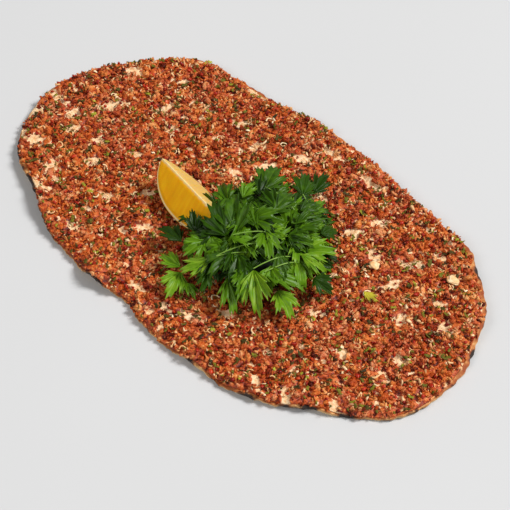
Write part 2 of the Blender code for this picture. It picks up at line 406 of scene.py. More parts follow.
under = smoothstep(1.2 * MM, 0.4 * MM, dough[:, 2] - lift(x, y))
write_tone(bread.data, "char", char)
write_tone(bread.data, "under", under)
write_tone(bread.data, "rim", near_rim(x, y, 5.0 * MM))

# %% [markdown]
# Baked wheat dough is matt and dry. The pale base is broken by golden browning a few
# millimetres across; the char is nearly black with rusty edges, and the underside has
# freckles of 4 to 8 mm. A fine bump gives the floury, blistered crust.

# %% Material of the dough
dough_look, tree, shader, place = new_material("baked_wheat_dough", 0.72, 1.45)
char_amount, under_amount, rim_amount = [
    add_node(tree, "Attribute", attribute_name=stored).outputs["Fac"]
    for stored in ("char", "under", "rim")]
browning = add_node(tree, "TexNoise",
                    {"Vector": place, "Scale": 1 / (7 * MM), "Detail": 6.0,
                     "Roughness": 0.6})
crust = fill_ramp(add_node(tree, "ValToRGB", {0: browning}),
                  [(0.30, "#E8B878"), (0.45, "#D69450"), (0.58, "#B06A30"),
                   (0.72, "#7E4218")])
freckles = add_node(tree, "TexVoronoi",
                    {"Vector": place, "Scale": 1 / (11 * MM), "Randomness": 1.0})
ragged = add_node(tree, "Math", {0: freckles.outputs["Distance"], 1: browning},
                  operation='ADD')
freckle_tint = fill_ramp(add_node(tree, "ValToRGB", {0: ragged}),
                         [(0.62, "#2B1A10"), (0.72, "#6B3C1B"), (0.82, "#B9813F"),
                          (0.95, "#E2BE85")])
rim_share = add_node(tree, "Math", {0: rim_amount, 1: browning}, operation='MULTIPLY')
rim_wide = add_node(tree, "MapRange", {0: rim_share, 1: 0.30, 2: 0.55})
oiled = add_node(tree, "Mix",
                 {0: rim_wide, 6: crust, 7: linear("#9A4818")}, data_type='RGBA')
both_sides = add_node(tree, "Mix",
                      {0: under_amount, 6: oiled, 7: freckle_tint},
                      data_type='RGBA')
char_edge = add_node(tree, "Math",
                     {0: browning, 1: 1.6, 2: char_amount}, operation='MULTIPLY_ADD')
char_ramp = add_node(tree, "MapRange", {0: char_edge, 1: 1.20, 2: 1.55})
char_tint = fill_ramp(add_node(tree, "ValToRGB", {0: char_ramp}),
                      [(0.0, "#8E4A1A"), (0.4, "#4C2612"), (1.0, "#281A12")])
charred = add_node(tree, "Mix",
                   {0: char_ramp, 6: both_sides, 7: char_tint},
                   data_type='RGBA')
grain = add_node(tree, "TexNoise",
                 {"Vector": place, "Scale": 1 / (1.2 * MM), "Detail": 4.0})
colour_and_bump(tree, shader, charred, grain, 0.6, 0.4 * MM)
hand_over(bread, dough_look, "baked_dough", "flatbread")

# %% [markdown]
# ## The spread of mince
#
# The topping is minced meat with tomato, pepper, onion and parsley, pressed thin with
# the fingers. Its body is one closed layer, whose lumps, hollows and creases are worked
# out for each vertex; only the finest grain is a bump in its material. In places the
# meat is so thin that pale dough shows: the layer dips there and stores how bare it is.

# %% Where the dough shows through
# Pale places: x, y, length, width in mm, turn in degrees.
PALE_PLACES = [
    (-138, 6, 16, 7, 60), (-168, -18, 16, 5, 5), (-150, -20, 7, 9, 30),
    (-140, -28, 9, 6, 80), (-118, -22, 8, 6, 20), (-172, -38, 10, 8, 70),
    (-163, -58, 9, 7, 0), (-148, -55, 14, 7, 20), (-122, -62, 12, 9, 15),
    (-114, -70, 10, 6, 40), (-106, -38, 9, 6, 0), (-112, -80, 14, 5, 10),
    (-72, -84, 9, 6, 30), (-37, -52, 9, 6, 50), (-46, -63, 7, 5, 0),
    (-90, -12, 8, 5, 30), (-110, 30, 12, 5, 75), (-92, 20, 9, 5, 30),
    (-74, 88, 16, 5, 5), (-131, 81, 14, 5, 20), (-60, 60, 12, 5, 60),
    (-38, 52, 10, 5, 70), (-20, 44, 12, 5, 60), (-8, 66, 14, 5, 20),
    (4, 84, 16, 4, 5), (42, 84, 18, 4, 0), (22, 50, 10, 6, 40), (-30, 24, 9, 5, 10),
    (60, 44, 12, 7, 40), (82, 40, 9, 6, 0), (104, 52, 14, 6, 30), (66, 62, 11, 5, 50),
    (106, 30, 10, 5, 70), (-4, -86, 10, 5, 20), (16, -84, 9, 4, 0), (50, -60, 8, 5, 20),
    (36, -78, 9, 6, 30), (100, -82, 10, 4, -30), (118, -76, 12, 4, -35),
    (146, -62, 14, 6, -35), (160, -40, 8, 4, -50), (120, -30, 8, 5, 0),
    (88, -20, 8, 5, 40), (148, -8, 9, 5, 30), (128, 14, 8, 6, 20), (150, 30, 9, 5, 80),
    (136, 40, 8, 5, 0), (112, 70, 12, 4, -20), (-88, 52, 9, 5, 0), (-120, 58, 10, 5, 50),
    (-150, 40, 9, 5, 30), (-60, -30, 8, 5, 60), (-76, -52, 9, 6, 20),
]


def bareness(x, y):
    """How far the dough shows at each plan position, from 0 to 1."""
    places = flat_places(x, y)
    ragged_edge = (0.9 * rumple(places, 4.5 * MM, 2.0)
                   + 0.5 * rumple(places, 1.8 * MM, 7.0))
    bare = np.zeros_like(x)
    for px, py, long_mm, wide_mm, turn in PALE_PLACES:
        cos_turn, sin_turn = math.cos(math.radians(turn)), math.sin(math.radians(turn))
        dx, dy = x - px * MM, y - py * MM
        across = np.hypot((dx * cos_turn + dy * sin_turn) / (0.55 * long_mm * MM),
                          (dy * cos_turn - dx * sin_turn) / (0.57 * wide_mm * MM))
        bare = np.maximum(bare, smoothstep(1.35, 0.95, across + ragged_edge))
    small = rumple(places, 6.5 * MM, 9.0) + 0.5 * rumple(places, 2.8 * MM, 4.0)
    return np.maximum(bare, smoothstep(0.44, 0.58, small))


# %% Shape the layer of meat
MINCE_MARGIN = 0.8 * MM
# Where the rim was left bare: bearing, half-spread, extra width in mm.
BARE_RIM = [(32, 16, 2.6), (6, 7, 1.6), (60, 10, 1.6), (90, 12, 2.2), (128, 5, 3.0),
            (147, 5, 2.4), (176, 4, 2.0), (-42, 5, 0.8), (-150, 8, 1.2)]
MINCE_CELLS = (350, 200)
LINING_CELLS = (35, 20)
MINCE_BODY = 2.5 * MM  # mean thickness of the layer under its loose crumbs
MINCE_LEAST = 0.25 * MM  # thickness where the dough shows through
MINCE_GAP = 0.3 * MM  # how far the layer starts above the dough
LUMP_RISE = 0.9 * MM
# Lumps of the layer: size in mm, weight, seed.
LUMP_SORTS = ((16.0, 1.0, 0.0), (7.0, 0.6, 1.0), (3.2, 0.45, 2.0), (1.7, 0.35, 3.0))
CREASE_WEIGHT = 1.1
BARE_DIP = 1.4 * MM
EDGE_THINNING = 1.3 * MM  # how much thinner the meat is at its edge
EDGE_REACH = 4.0 * MM


def bare_rim(angle):
    """Extra width of bare rim at each bearing."""
    extra = np.zeros_like(angle)
    for centre, spread, width in BARE_RIM:
        extra += width * MM * round_bearing(np.degrees(angle), centre, spread)
    return extra


def mince_margin(angle):
    """Bare dough left at the rim, wandering round the bread."""
    places = np.stack([np.cos(angle), np.sin(angle), np.full_like(angle, 0.3)], axis=1)
    wander = 0.6 * MM * rumple(places, 0.3) + 0.6 * MM * rumple(places, 0.05)
    return MINCE_MARGIN + wander + bare_rim(angle)


def mince_creases(x, y):
    """How deep each plan position lies in a crease between clumps, from 0 to 1."""
    places = flat_places(x, y)
    wide = np.abs(rumple(places, 9.0 * MM, 5.0) + 0.25 * rumple(places, 3.0 * MM, 8.0))
    return smoothstep(0.16, 0.02, wide)


def mince_height(x, y):
    """Top of the meat's body above the underside of the dough."""
    places = flat_places(x, y)
    lumps = sum(weight * rumple(places, size * MM, seed)
                for size, weight, seed in LUMP_SORTS)
    lumps = lumps - CREASE_WEIGHT * mince_creases(x, y)
    thinning = EDGE_THINNING * near_rim(x, y, EDGE_REACH)
    body = MINCE_BODY + LUMP_RISE * lumps - thinning - BARE_DIP * bareness(x, y)
    rim_drop = RIM_THINNING * near_rim(x, y, THIN_RIM)
    return DOUGH_THICKNESS + MINCE_GAP - rim_drop + np.maximum(body, MINCE_LEAST)


mince = oval_grid("mince_spread", *MINCE_CELLS, mince_margin)
x, y, _ = read_points(mince.data).T
write_points(mince.data, skin(x, y, mince_height(x, y)))
lining = oval_grid("mince_lining", *LINING_CELLS, mince_margin)
x, y, _ = read_points(lining.data).T
write_points(lining.data, skin(x, y, np.full(len(x), 0.5 * DOUGH_THICKNESS)))
select_only(lining)
bpy.ops.object.mode_set(mode='EDIT')
bpy.ops.mesh.select_all(action='SELECT')
bpy.ops.mesh.flip_normals()
bpy.ops.object.mode_set(mode='OBJECT')
join_pieces([mince, lining], "mince_spread")
bpy.ops.object.mode_set(mode='EDIT')
bpy.ops.mesh.select_all(action='DESELECT')
bpy.ops.mesh.select_mode(type='EDGE')
bpy.ops.mesh.select_non_manifold()
bpy.ops.mesh.bridge_edge_loops()
bpy.ops.mesh.select_all(action='SELECT')
bpy.ops.mesh.normals_make_consistent(inside=False)
bpy.ops.object.mode_set(mode='OBJECT')
x, y, _ = read_points(mince.data).T
write_tone(mince.data, "bare", bareness(x, y))
write_tone(mince.data, "crease", mince_creases(x, y))

# %% [markdown]
# Cooked mince is a moist crumb of fat and protein: brown-red, and orange where oil has
# pooled. The dough beneath is cream with gold edges. Noise of 2 to 3 mm breaks the
# colour, the creases are painted darker as shade, and a coarse bump keeps the layer from
# looking like paste between the loose crumbs.

# %% Material of the meat's body
mince_look, tree, shader, place = new_material("cooked_mince_body", 0.45, 1.45)
bare_amount, crease = [
    add_node(tree, "Attribute", attribute_name=stored).outputs["Fac"]
    for stored in ("bare", "crease")]
crumb_noise = add_node(tree, "TexNoise",
                       {"Vector": place, "Scale": 1 / (2.4 * MM), "Detail": 5.0,
                        "Roughness": 0.65})
# Lightness falls in the creases between clumps: painted shade.
lightness_with_crease_shade = add_node(tree, "Math", {0: crease, 1: -0.16, 2: crumb_noise},
                  operation='MULTIPLY_ADD')
meat = fill_ramp(add_node(tree, "ValToRGB", {0: lightness_with_crease_shade}),
                 [(0.28, "#561606"), (0.42, "#A83E10"), (0.52, "#C8581C"),
                  (0.62, "#DE7C36"), (0.76, "#F6B070")])
pale = fill_ramp(add_node(tree, "ValToRGB", {0: crumb_noise}),
                 [(0.30, "#CC8A50"), (0.45, "#EEBE88"), (0.62, "#FCDEB4")])
bare_edge = add_node(tree, "MapRange", {0: bare_amount, 1: 0.25, 2: 0.7})
layered = add_node(tree, "Mix", {0: bare_edge, 6: meat, 7: pale}, data_type='RGBA')
colour_and_bump(tree, shader, layered, crumb_noise, 0.9, 1.0 * MM)
hand_over(mince, mince_look, "cooked_mince", "mince_topping")

# %% [markdown]
# ## Loose crumbs
#
# What makes mince read as mince is thousands of separate crumbs, 1.3 to 5 mm across. A
# few lumps and longer shreds are modelled once, each from a cube that is subdivided,
# rounded and dented, and then copied by the thousand into one mesh, turned and sized at
# random. Each has only 24 faces, since it is repeated so often.


# %% Model the lumps
def model_lump(name, seed, length, ragged):
    """Round a subdivided cube and tear it out of true: one crumb about 1 unit across."""
    deselect_all()
    bpy.ops.mesh.primitive_cube_add(size=1.0)
    lump = new_piece(name)
    bpy.ops.object.mode_set(mode='EDIT')
    bpy.ops.mesh.select_all(action='SELECT')
    bpy.ops.mesh.subdivide(number_cuts=1)
    bpy.ops.object.mode_set(mode='OBJECT')
    apply_modifier(lump, 'CAST', cast_type='SPHERE', factor=0.7)
    points = read_points(lump.data)
    swell = (1.0 + ragged * rumple(points, 0.37, seed)
             + 0.6 * ragged * rumple(points, 0.19, seed))
    points = points * swell[:, None] * np.array([length, 1.0, 0.85])
    points[:, 2] += 0.18 * (length - 1.0) * points[:, 0] ** 2
    points[:, 1] += 0.30 * (length - 1.0) * np.sin(2.2 * points[:, 0] + seed)
    points /= np.ptp(points, axis=0).max() / length ** 0.5
    write_points(lump.data, points)
    return lump


def take_shape(model):
    """Read a model's points and faces, and remove it."""
    points = read_points(model.data)
    faces = [tuple(face.vertices) for face in model.data.polygons]
    bpy.data.objects.remove(model, do_unlink=True)
    return points, faces


LUMPS = [take_shape(model_lump(f"lump_{i}", 3.7 * i, 1.0 + 0.06 * i, 0.85))
         for i in range(10)]
SHREDS = [take_shape(model_lump(f"shred_{i}", 2.9 * i, 1.9 + 0.15 * i, 0.7))
          for i in range(6)]


# %% [markdown]
# The crumbs are dropped on a jittered grid, so they cover evenly without rows. A grain
# keeps away from bare dough and takes its height from the layer below it.


# %% Drop and join the copies
def random_turns(count):
    """Uniformly random rotation matrices."""
    q = dice.normal(size=(count, 4))
    q /= np.linalg.norm(q, axis=1)[:, None]
    w, x, y, z = q.T
    return np.stack([
        1 - 2 * (y * y + z * z), 2 * (x * y - z * w), 2 * (x * z + y * w),
        2 * (x * y + z * w), 1 - 2 * (x * x + z * z), 2 * (y * z - x * w),
        2 * (x * z - y * w), 2 * (y * z + x * w), 1 - 2 * (x * x + y * y),
    ], axis=1).reshape(-1, 3, 3)


def join_copies(name, shapes, places, sizes, turns, tones):
    """Copy the shapes to the places and join them in one mesh, with a tone for each."""
    picks = dice.integers(0, len(shapes), len(places))
    points, faces, values, start = [], [], [], 0
    for number, (shape_points, shape_faces) in enumerate(shapes):
        chosen = np.flatnonzero(picks == number)
        sized = shape_points[None] * sizes[chosen][:, None, :]
        turned = np.einsum('nij,nkj->nki', turns[chosen], sized)
        points.append((turned + places[chosen][:, None, :]).reshape(-1, 3))
        values.append(np.repeat(tones[chosen], len(shape_points)))
        corners = np.array(shape_faces)
        shifts = start + len(shape_points) * np.arange(len(chosen))
        shifted = corners[None] + shifts[:, None, None]
        faces.append(shifted.reshape(-1, corners.shape[1]))
        start += len(chosen) * len(shape_points)
    piece = piece_from(name, np.concatenate(points), np.concatenate(faces).tolist())
    write_tone(piece.data, "tone", np.concatenate(values))
    return piece


def random_sizes(low, high, count):
    """Sizes in mm turned to metres, with small ones the most common."""
    return dice.triangular(low, low + 0.3 * (high - low), high, count) * MM


def jittered_plan(spacing, edge):
    """Scatter plan positions over the bread, no nearer its edge than given."""
    steps_x = np.arange(-HALF_LENGTH, HALF_LENGTH, spacing)
    steps_y = np.arange(-HALF_WIDTH - 8 * MM, HALF_WIDTH + 8 * MM, spacing)
    x, y = np.meshgrid(steps_x, steps_y)
    x = x.ravel() + dice.uniform(-0.6, 0.6, x.size) * spacing
    y = y.ravel() + dice.uniform(-0.6, 0.6, y.size) * spacing
    inside = inwards_of_rim(x, y) > edge + bare_rim(np.arctan2(y, x))
    return x[inside], y[inside]


def drop(name, shapes, x, y, size, flatten, sink, tones, lie=False):
    """Drop grains of given sizes on the mince, sunk by a share of their size."""
    size = np.minimum(size, mince_height(x, y))  # none is thicker than the thin rim
    stretch = dice.uniform(0.75, 1.3, (len(x), 3))
    sizes = size[:, None] * stretch
    sizes[:, 2] *= flatten
    turns = random_turns(len(x))
    if lie:
        angle = dice.uniform(0, 2 * math.pi, len(x))
        tip = dice.normal(0, 0.3, (len(x), 2))
        turns = np.array([Matrix.Rotation(a, 3, 'Z') @ Matrix.Rotation(s, 3, 'X')
                          @ Matrix.Rotation(t, 3, 'Y') for a, (s, t) in zip(angle, tip)])
    height = mince_height(x, y) + size * flatten * (0.5 - sink)
    return join_copies(name, shapes, skin(x, y, height), sizes, turns, tones)


# %% [markdown]
# Five sorts of crumb are used: fine, middling and coarse lumps, torn shreds, and a thin
# scatter of darker, crisp lumps, which sit highest and caught most heat. Tones wander
# slowly over the bread and change a little from crumb to crumb, and crumbs in its creases
# are darkened as painted shade.

# %% Crumbs of meat
def crumb_tones(x, y, centre, spread):
    """Lightness of each crumb: patches of 11 and 4.5 mm, painted shade in the creases,
    and chance.
    """
    places = flat_places(x, y)
    drift = 0.34 * rumple(places, 11.0 * MM, 11.0) + 0.32 * rumple(places, 4.5 * MM, 12.0)
    # Crumbs in the creases are made darker: painted shade.
    drift -= 0.36 * mince_creases(x, y) - 0.05
    return np.clip(centre + drift + spread * dice.normal(size=len(x)), 0.0, 1.0)


def crumb_layer(name, spacing, low, high, sink, centre, spread, shapes):
    """Drop one sort of crumb wherever the dough isn't bare."""
    x, y = jittered_plan(spacing * MM, (0.45 * low - 0.7) * MM)
    covered = bareness(x, y) < dice.uniform(0.05, 0.45, len(x))
    x, y = x[covered], y[covered]
    return drop(name, shapes, x, y, random_sizes(low, high, len(x)), 0.8, sink,
                crumb_tones(x, y, centre, spread))


# Name, spacing, least and greatest size in mm, share sunk, mean tone, its spread, shapes.
CRUMB_SORTS = [
    ("mince_crumbs_fine", 3.8, 1.3, 2.8, 0.36, 0.56, 0.10, LUMPS),
    ("mince_shreds", 3.9, 1.4, 3.4, 0.38, 0.60, 0.12, SHREDS),
    ("mince_crumbs_middling", 4.4, 2.0, 4.2, 0.50, 0.51, 0.08, LUMPS),
    ("mince_crumbs_coarse", 6.0, 3.6, 7.0, 0.64, 0.50, 0.07, LUMPS),
    ("mince_crumbs_dark", 9.0, 1.6, 3.6, 0.28, 0.16, 0.12, LUMPS),
]
crumb_pieces = [crumb_layer(*sort) for sort in CRUMB_SORTS]

# %% [markdown]
# One look serves them all. The stored tone picks the colour, noise of about 1 mm mottles
# it, and places with more oil, drier meat or more spice have ramps of their own. The same
# noise raises the bump, so the colour is painted lighter on its tips and darker in its
# dips, painted highlight and shade at the scale of the grain. The surface is moist:
# fairly low roughness, broken by a bump.

# %% Material of the crumbs
MEAT_RAMP = [(0.0, "#460C00"), (0.20, "#8C2600"), (0.38, "#B64A14"), (0.55, "#D26628"),
             (0.75, "#E88E46"), (1.0, "#FAC082")]
DRY_MEAT_RAMP = [(0.0, "#440E00"), (0.20, "#8A2A0A"), (0.38, "#B24C28"),
                 (0.55, "#CE6A40"), (0.75, "#E29464"), (1.0, "#F6C294")]
SPICED_RAMP = [(0.0, "#30180A"), (0.20, "#64340E"), (0.38, "#8C5420"), (0.55, "#AC7438"),
               (0.75, "#CC9C5C"), (1.0, "#F0CC94")]


def meat_colour(tree, place, lightness):
    """Brown-red meat, drier and pinker in some places and oilier in others."""
    oily = fill_ramp(add_node(tree, "ValToRGB", {0: lightness}), MEAT_RAMP)
    dry = fill_ramp(add_node(tree, "ValToRGB", {0: lightness}), DRY_MEAT_RAMP)
    patch = add_node(tree, "TexNoise",
                     {"Vector": place, "Scale": 1 / (12 * MM), "Detail": 4.0})
    share = add_node(tree, "MapRange", {0: patch, 1: 0.46, 2: 0.62})
    meat = add_node(tree, "Mix", {0: share, 6: oily, 7: dry}, data_type='RGBA')
    seasoned = fill_ramp(add_node(tree, "ValToRGB", {0: lightness}), SPICED_RAMP)
    specks = add_node(tree, "TexNoise",
                      {"Vector": place, "Scale": 1 / (4.5 * MM), "Detail": 5.0,
                       "Roughness": 0.6})
    amount = add_node(tree, "MapRange", {0: specks, 1: 0.52, 2: 0.66, 4: 0.65})
    return add_node(tree, "Mix", {0: amount, 6: meat, 7: seasoned}, data_type='RGBA')


crumb_look, tree, shader, place = new_material("cooked_mince_crumb", 0.36, 1.42, 0.22)
tone = add_node(tree, "Attribute", attribute_name="tone").outputs["Fac"]
mottle = add_node(tree, "TexNoise",
                  {"Vector": place, "Scale": 1 / (1.1 * MM), "Detail": 4.0,
                   "Roughness": 0.65})
# The noise that raises the bump also lightens the colour: lighter tips and darker dips
# are painted highlight and shade.
mixed = add_node(tree, "Math", {0: mottle, 1: 1.3, 2: tone}, operation='MULTIPLY_ADD')
centred = add_node(tree, "Math", {0: mixed, 1: 0.67}, operation='SUBTRACT')
colour_and_bump(tree, shader, meat_colour(tree, place, centred), mottle, 1.0, 0.8 * MM)
for crumbs in crumb_pieces:
    hand_over(crumbs, crumb_look, "cooked_mince")

# %% [markdown]
# ## Pepper, onion and chopped parsley
#
# Red pepper and tomato are small glossy dice; onion and fat are pale, soft bits, some
# drawn out to short threads; chopped parsley makes thin curled flakes, from fresh green
# to oven-dark. Each sort is one mesh, made as the crumbs are.


# %% Model a flake
def model_flake(name, curl):
    """A curled diamond-cut flake of leaf, about 1 unit long, with real thickness."""
    deselect_all()
    bpy.ops.mesh.primitive_grid_add(x_subdivisions=3, y_subdivisions=2, size=1.0)
    flake = new_piece(name)
    points = read_points(flake.data)
    points[:, 1] *= 0.7 - 0.5 * np.abs(points[:, 0])
    points[:, 0] += 0.2 * points[:, 1] + 0.14 * np.sin(9.0 * points[:, 1] + 7.0 * curl)
    points[:, 1] += 0.12 * np.sin(11.0 * points[:, 0] + 5.0 * curl)
    points[:, 2] = curl * (points[:, 0] ** 2 - 0.1) + 0.4 * points[:, 1] ** 2
    write_points(flake.data, points)
    apply_modifier(flake, 'SOLIDIFY', thickness=0.08, offset=0.0)
    return flake


FLAKES = [take_shape(model_flake(f"flake_{i}", 0.25 + 0.25 * i)) for i in range(4)]


# %% Model a thread
def sweep_tube(name, route, radius, smoothness, steps):
    """Sweep a round section along a smooth curve through points and make it a mesh."""
    curve = bpy.data.curves.new(name, 'CURVE')
    curve.dimensions = '3D'
    curve.bevel_depth = radius
    curve.bevel_resolution = smoothness
    curve.resolution_u = steps
    curve.use_fill_caps = True
    spline = curve.splines.new('BEZIER')
    spline.bezier_points.add(len(route) - 1)
    for point, place in zip(spline.bezier_points, route):
        point.co = place
        point.handle_left_type = point.handle_right_type = 'AUTO'
    tube = bpy.data.objects.new(name, curve)
    bpy.context.scene.collection.objects.link(tube)
    select_only(tube)
    bpy.ops.object.convert(target='MESH')
    return bpy.context.object


def model_thread(name, sweep):
    """A thin curl of onion, an arc of the given sweep in degrees and 1 unit across."""
    turns = np.radians(np.linspace(-0.5, 0.5, 4) * sweep)
    route = [(0.5 * math.sin(turn), 0.5 * math.cos(turn), 0.14 * (number % 2))
             for number, turn in enumerate(turns)]
    thread = sweep_tube(name, route, 0.12, 0, 3)
    apply_modifier(thread, 'TRIANGULATE')
    return thread


THREADS = [take_shape(model_thread(f"thread_{sweep}", sweep))
           for sweep in (50, 90, 140, 200)]


def scatter_bits(name, shapes, spacing, low, high, flatten, sink, lie, clump):
    """Drop one sort of bit over the whole bread, in clumps if asked."""
    x, y = jittered_plan(spacing * MM, 1.0 * MM)
    if clump:
        kept = (rumple(flat_places(x, y), 7.0 * MM, 15.0)
                > clump + dice.normal(0.0, 0.12, len(x)))
        x, y = x[kept], y[kept]
    size = random_sizes(low, high, len(x))
    drift = rumple(flat_places(x, y), 9.0 * MM, 17.0)
    tones = np.clip(0.40 + 0.5 * drift + dice.normal(0.0, 0.2, len(x)), 0.0, 1.0)
    return drop(name, shapes, x, y, size, flatten, sink, tones, lie=lie)


# Name, shapes, spacing, least and greatest size in mm, flattening, share sunk, whether it
# lies flat, and how strongly it clumps.
BIT_SORTS = [
    ("red_pepper_bits", LUMPS, 7.4, 1.5, 3.6, 0.7, -0.14, False, 0.0),
    ("onion_bits", SHREDS + LUMPS[:3], 4.4, 0.9, 3.4, 0.6, -0.15, False, 0.02),
    ("onion_threads", THREADS, 8.4, 2.2, 5.0, 0.8, 0.0, True, 0.16),
    ("parsley_flakes", FLAKES, 3.3, 0.9, 3.8, 1.0, -0.10, True, 0.10),
]
pepper, onion_bits, onion_threads, herbs = [scatter_bits(*sort) for sort in BIT_SORTS]


# %% Materials of the small bits
def bit_material(name, stops, roughness, grain_size, bump):
    """A tone ramp mottled by noise of one grain size, with a light bump."""
    look, tree, shader, place = new_material(name, roughness, 1.42, 0.35)
    tone = add_node(tree, "Attribute", attribute_name="tone").outputs["Fac"]
    mottle = add_node(tree, "TexNoise",
                      {"Vector": place, "Scale": 1 / grain_size, "Detail": 3.0})
    mixed = add_node(tree, "Math", {0: mottle, 1: 0.5, 2: tone},
                     operation='MULTIPLY_ADD')
    centred = add_node(tree, "Math", {0: mixed, 1: 0.25}, operation='SUBTRACT')
    tint = fill_ramp(add_node(tree, "ValToRGB", {0: centred}), stops)
    colour_and_bump(tree, shader, tint, mottle, bump, 0.4 * MM)
    return look


pepper_look = bit_material("roast_red_pepper", [(0.0, "#6E0E04"), (0.4, "#A42410"),
                           (0.75, "#C63E1C"), (1.0, "#DC6632")], 0.34, 1.5 * MM, 0.5)
onion_look = bit_material("soft_fried_onion", [(0.0, "#DC8C4C"), (0.35, "#EFBC80"),
                          (1.0, "#FFEAC0")], 0.40, 1.5 * MM, 0.5)
herb_look = bit_material("baked_chopped_parsley", [(0.0, "#35290A"), (0.3, "#4C420C"),
                         (0.55, "#686214"), (0.8, "#8E8A1E"), (1.0, "#B0AC36")],
                         0.7, 1.2 * MM, 0.6)
for bits, look, slot in ((pepper, pepper_look, "cooked_mince"),
                         (onion_bits, onion_look, "cooked_onion"),
                         (onion_threads, onion_look, "cooked_onion"),
                         (herbs, herb_look, "leaf_bit")):
    hand_over(bits, look, slot)

# %% [markdown]
# ## The larger bits
#
# Three bits are as big as a berry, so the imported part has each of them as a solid:
# two pieces of onion with their layers showing, and a wilted leaf of parsley.


# %% Onion pieces
def onion_piece(node):
    """A bent, layered scrap of onion filling its CAD solid's box."""
    low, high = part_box(node)
    deselect_all()
    bpy.ops.mesh.primitive_uv_sphere_add(segments=32, ring_count=18, radius=0.5)
    piece = new_piece(node + "_layered")
    points = read_points(piece.data)
    layers = 0.06 * np.sin(points[:, 2] * 26.0 + 3.0 * points[:, 0])
    swell = (1.0 + 0.45 * rumple(points, 0.42, low.x * 50.0)
             + 0.20 * rumple(points, 0.16, low.y * 50.0) + layers)
    points = points * swell[:, None]
    points[:, 2] += 0.25 * points[:, 0] ** 2
    points = (points - points.min(0)) / np.ptp(points, axis=0)
    span = np.array(high - low)
    points = np.array(low) + (0.06 + 0.88 * points) * span
    points[:, 2] -= 0.9 * MM
    write_points(piece.data, points - np.array(CENTRING))
    write_tone(piece.data, "tone", 0.5 + 0.5 * rumple(points, 2.0 * MM))
    return piece


for node in ("onion_piece_large", "onion_piece_small"):
    hand_over(onion_piece(node), onion_look, "cooked_onion", node)

# %% [markdown]
# ## The lemon wedge
#
# A wedge is cut lengthwise out of a lemon by two knife cuts that meet in its core. So it
# is built as three sheets: the outer skin and the two cut faces, which share their
# edges and are merged. Each vertex stores how deep it lies under the skin, and the
# material turns that depth into yellow zest, white pith, flesh and pale core.

# %% Shape the wedge
LEMON_MIDDLE = Vector((-23.6 * MM, -20.8 * MM, 0.0))
LEMON_BEARING = math.radians(-6.7)
LEMON_LENGTH = 66.0 * MM
LEMON_RADIUS = 23.6 * MM
LEMON_HALF = math.radians(41.25)  # half the angle between the two cuts
LEMON_FULLNESS = 2.2
LEMON_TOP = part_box("lemon_wedge")[1].z


def lemon_girth(share):
    """Radius of the lemon at a share of its half-length from the middle."""
    return LEMON_RADIUS * np.sqrt(np.maximum(1.0 - np.abs(share) ** LEMON_FULLNESS, 0.0))


def lemon_sheet(cells_along, cells_across, kind):
    """One sheet of the wedge: the skin, or the cut face on either side."""
    deselect_all()
    bpy.ops.mesh.primitive_grid_add(x_subdivisions=cells_along,
                                    y_subdivisions=cells_across, size=2.0)
    sheet = new_piece("lemon_" + kind)
    square = read_points(sheet.data)
    share = np.sin(0.5 * math.pi * square[:, 0])
    across = 0.5 * (square[:, 1] + 1.0)
    girth = lemon_girth(share)
    if kind == "skin":
        angle = (2.0 * across - 1.0) * LEMON_HALF
        reach = np.ones_like(angle)
    else:
        angle = np.full_like(across, -LEMON_HALF if kind == "near" else LEMON_HALF)
        reach = across
    points = np.stack([share * LEMON_LENGTH / 2.0, girth * reach * np.sin(angle),
                       -girth * reach * np.cos(angle)], axis=1)
    depth = (1.0 - reach) * girth
    flesh = (smoothstep(1.6 * MM, 4.0 * MM, depth)
             * smoothstep(0.0, 3.0 * MM, girth * reach))
    sacs = rumple(np.stack([square[:, 0] * 16.0, across * 2.5, angle], axis=1), 1.0)
    if kind != "skin":
        side = math.copysign(1.0, angle[0])
        outwards = np.array([0.0, side * math.cos(LEMON_HALF), math.sin(LEMON_HALF)])
        points += np.outer(flesh * (0.30 * MM + 0.25 * MM * sacs), outwards)
    write_points(sheet.data, points)
    write_tone(sheet.data, "depth", depth)
    write_tone(sheet.data, "reach", girth * reach)
    write_tone(sheet.data, "cut", np.full(len(points), 0.0 if kind == "skin" else 1.0))
    # The far cut face is marked for a painted sheen.
    write_tone(sheet.data, "far_face_sheen", np.full(len(points), 1.0 if kind == "far" else 0.0))
    return sheet


lemon = join_pieces([lemon_sheet(96, 40, "skin"), lemon_sheet(96, 44, "near"),
                     lemon_sheet(96, 44, "far")], "lemon_wedge_cut")
bpy.ops.object.mode_set(mode='EDIT')
bpy.ops.mesh.select_all(action='SELECT')
bpy.ops.mesh.remove_doubles(threshold=0.02 * MM)
bpy.ops.mesh.normals_make_consistent(inside=False)
bpy.ops.object.mode_set(mode='OBJECT')
lemon.data.transform(Matrix.Translation(LEMON_MIDDLE + Vector((0.0, 0.0, LEMON_TOP)))
                     @ Matrix.Rotation(LEMON_BEARING, 4, 'Z'))

# %% [markdown]
# Lemon flesh is wet and lets light in, so it gets subsurface scattering and low
# roughness. Juice sacs run from the skin to the core, 1 to 2 mm wide, so their noise
# is stretched along that way. The pith is matt white, and the zest has oil pores.

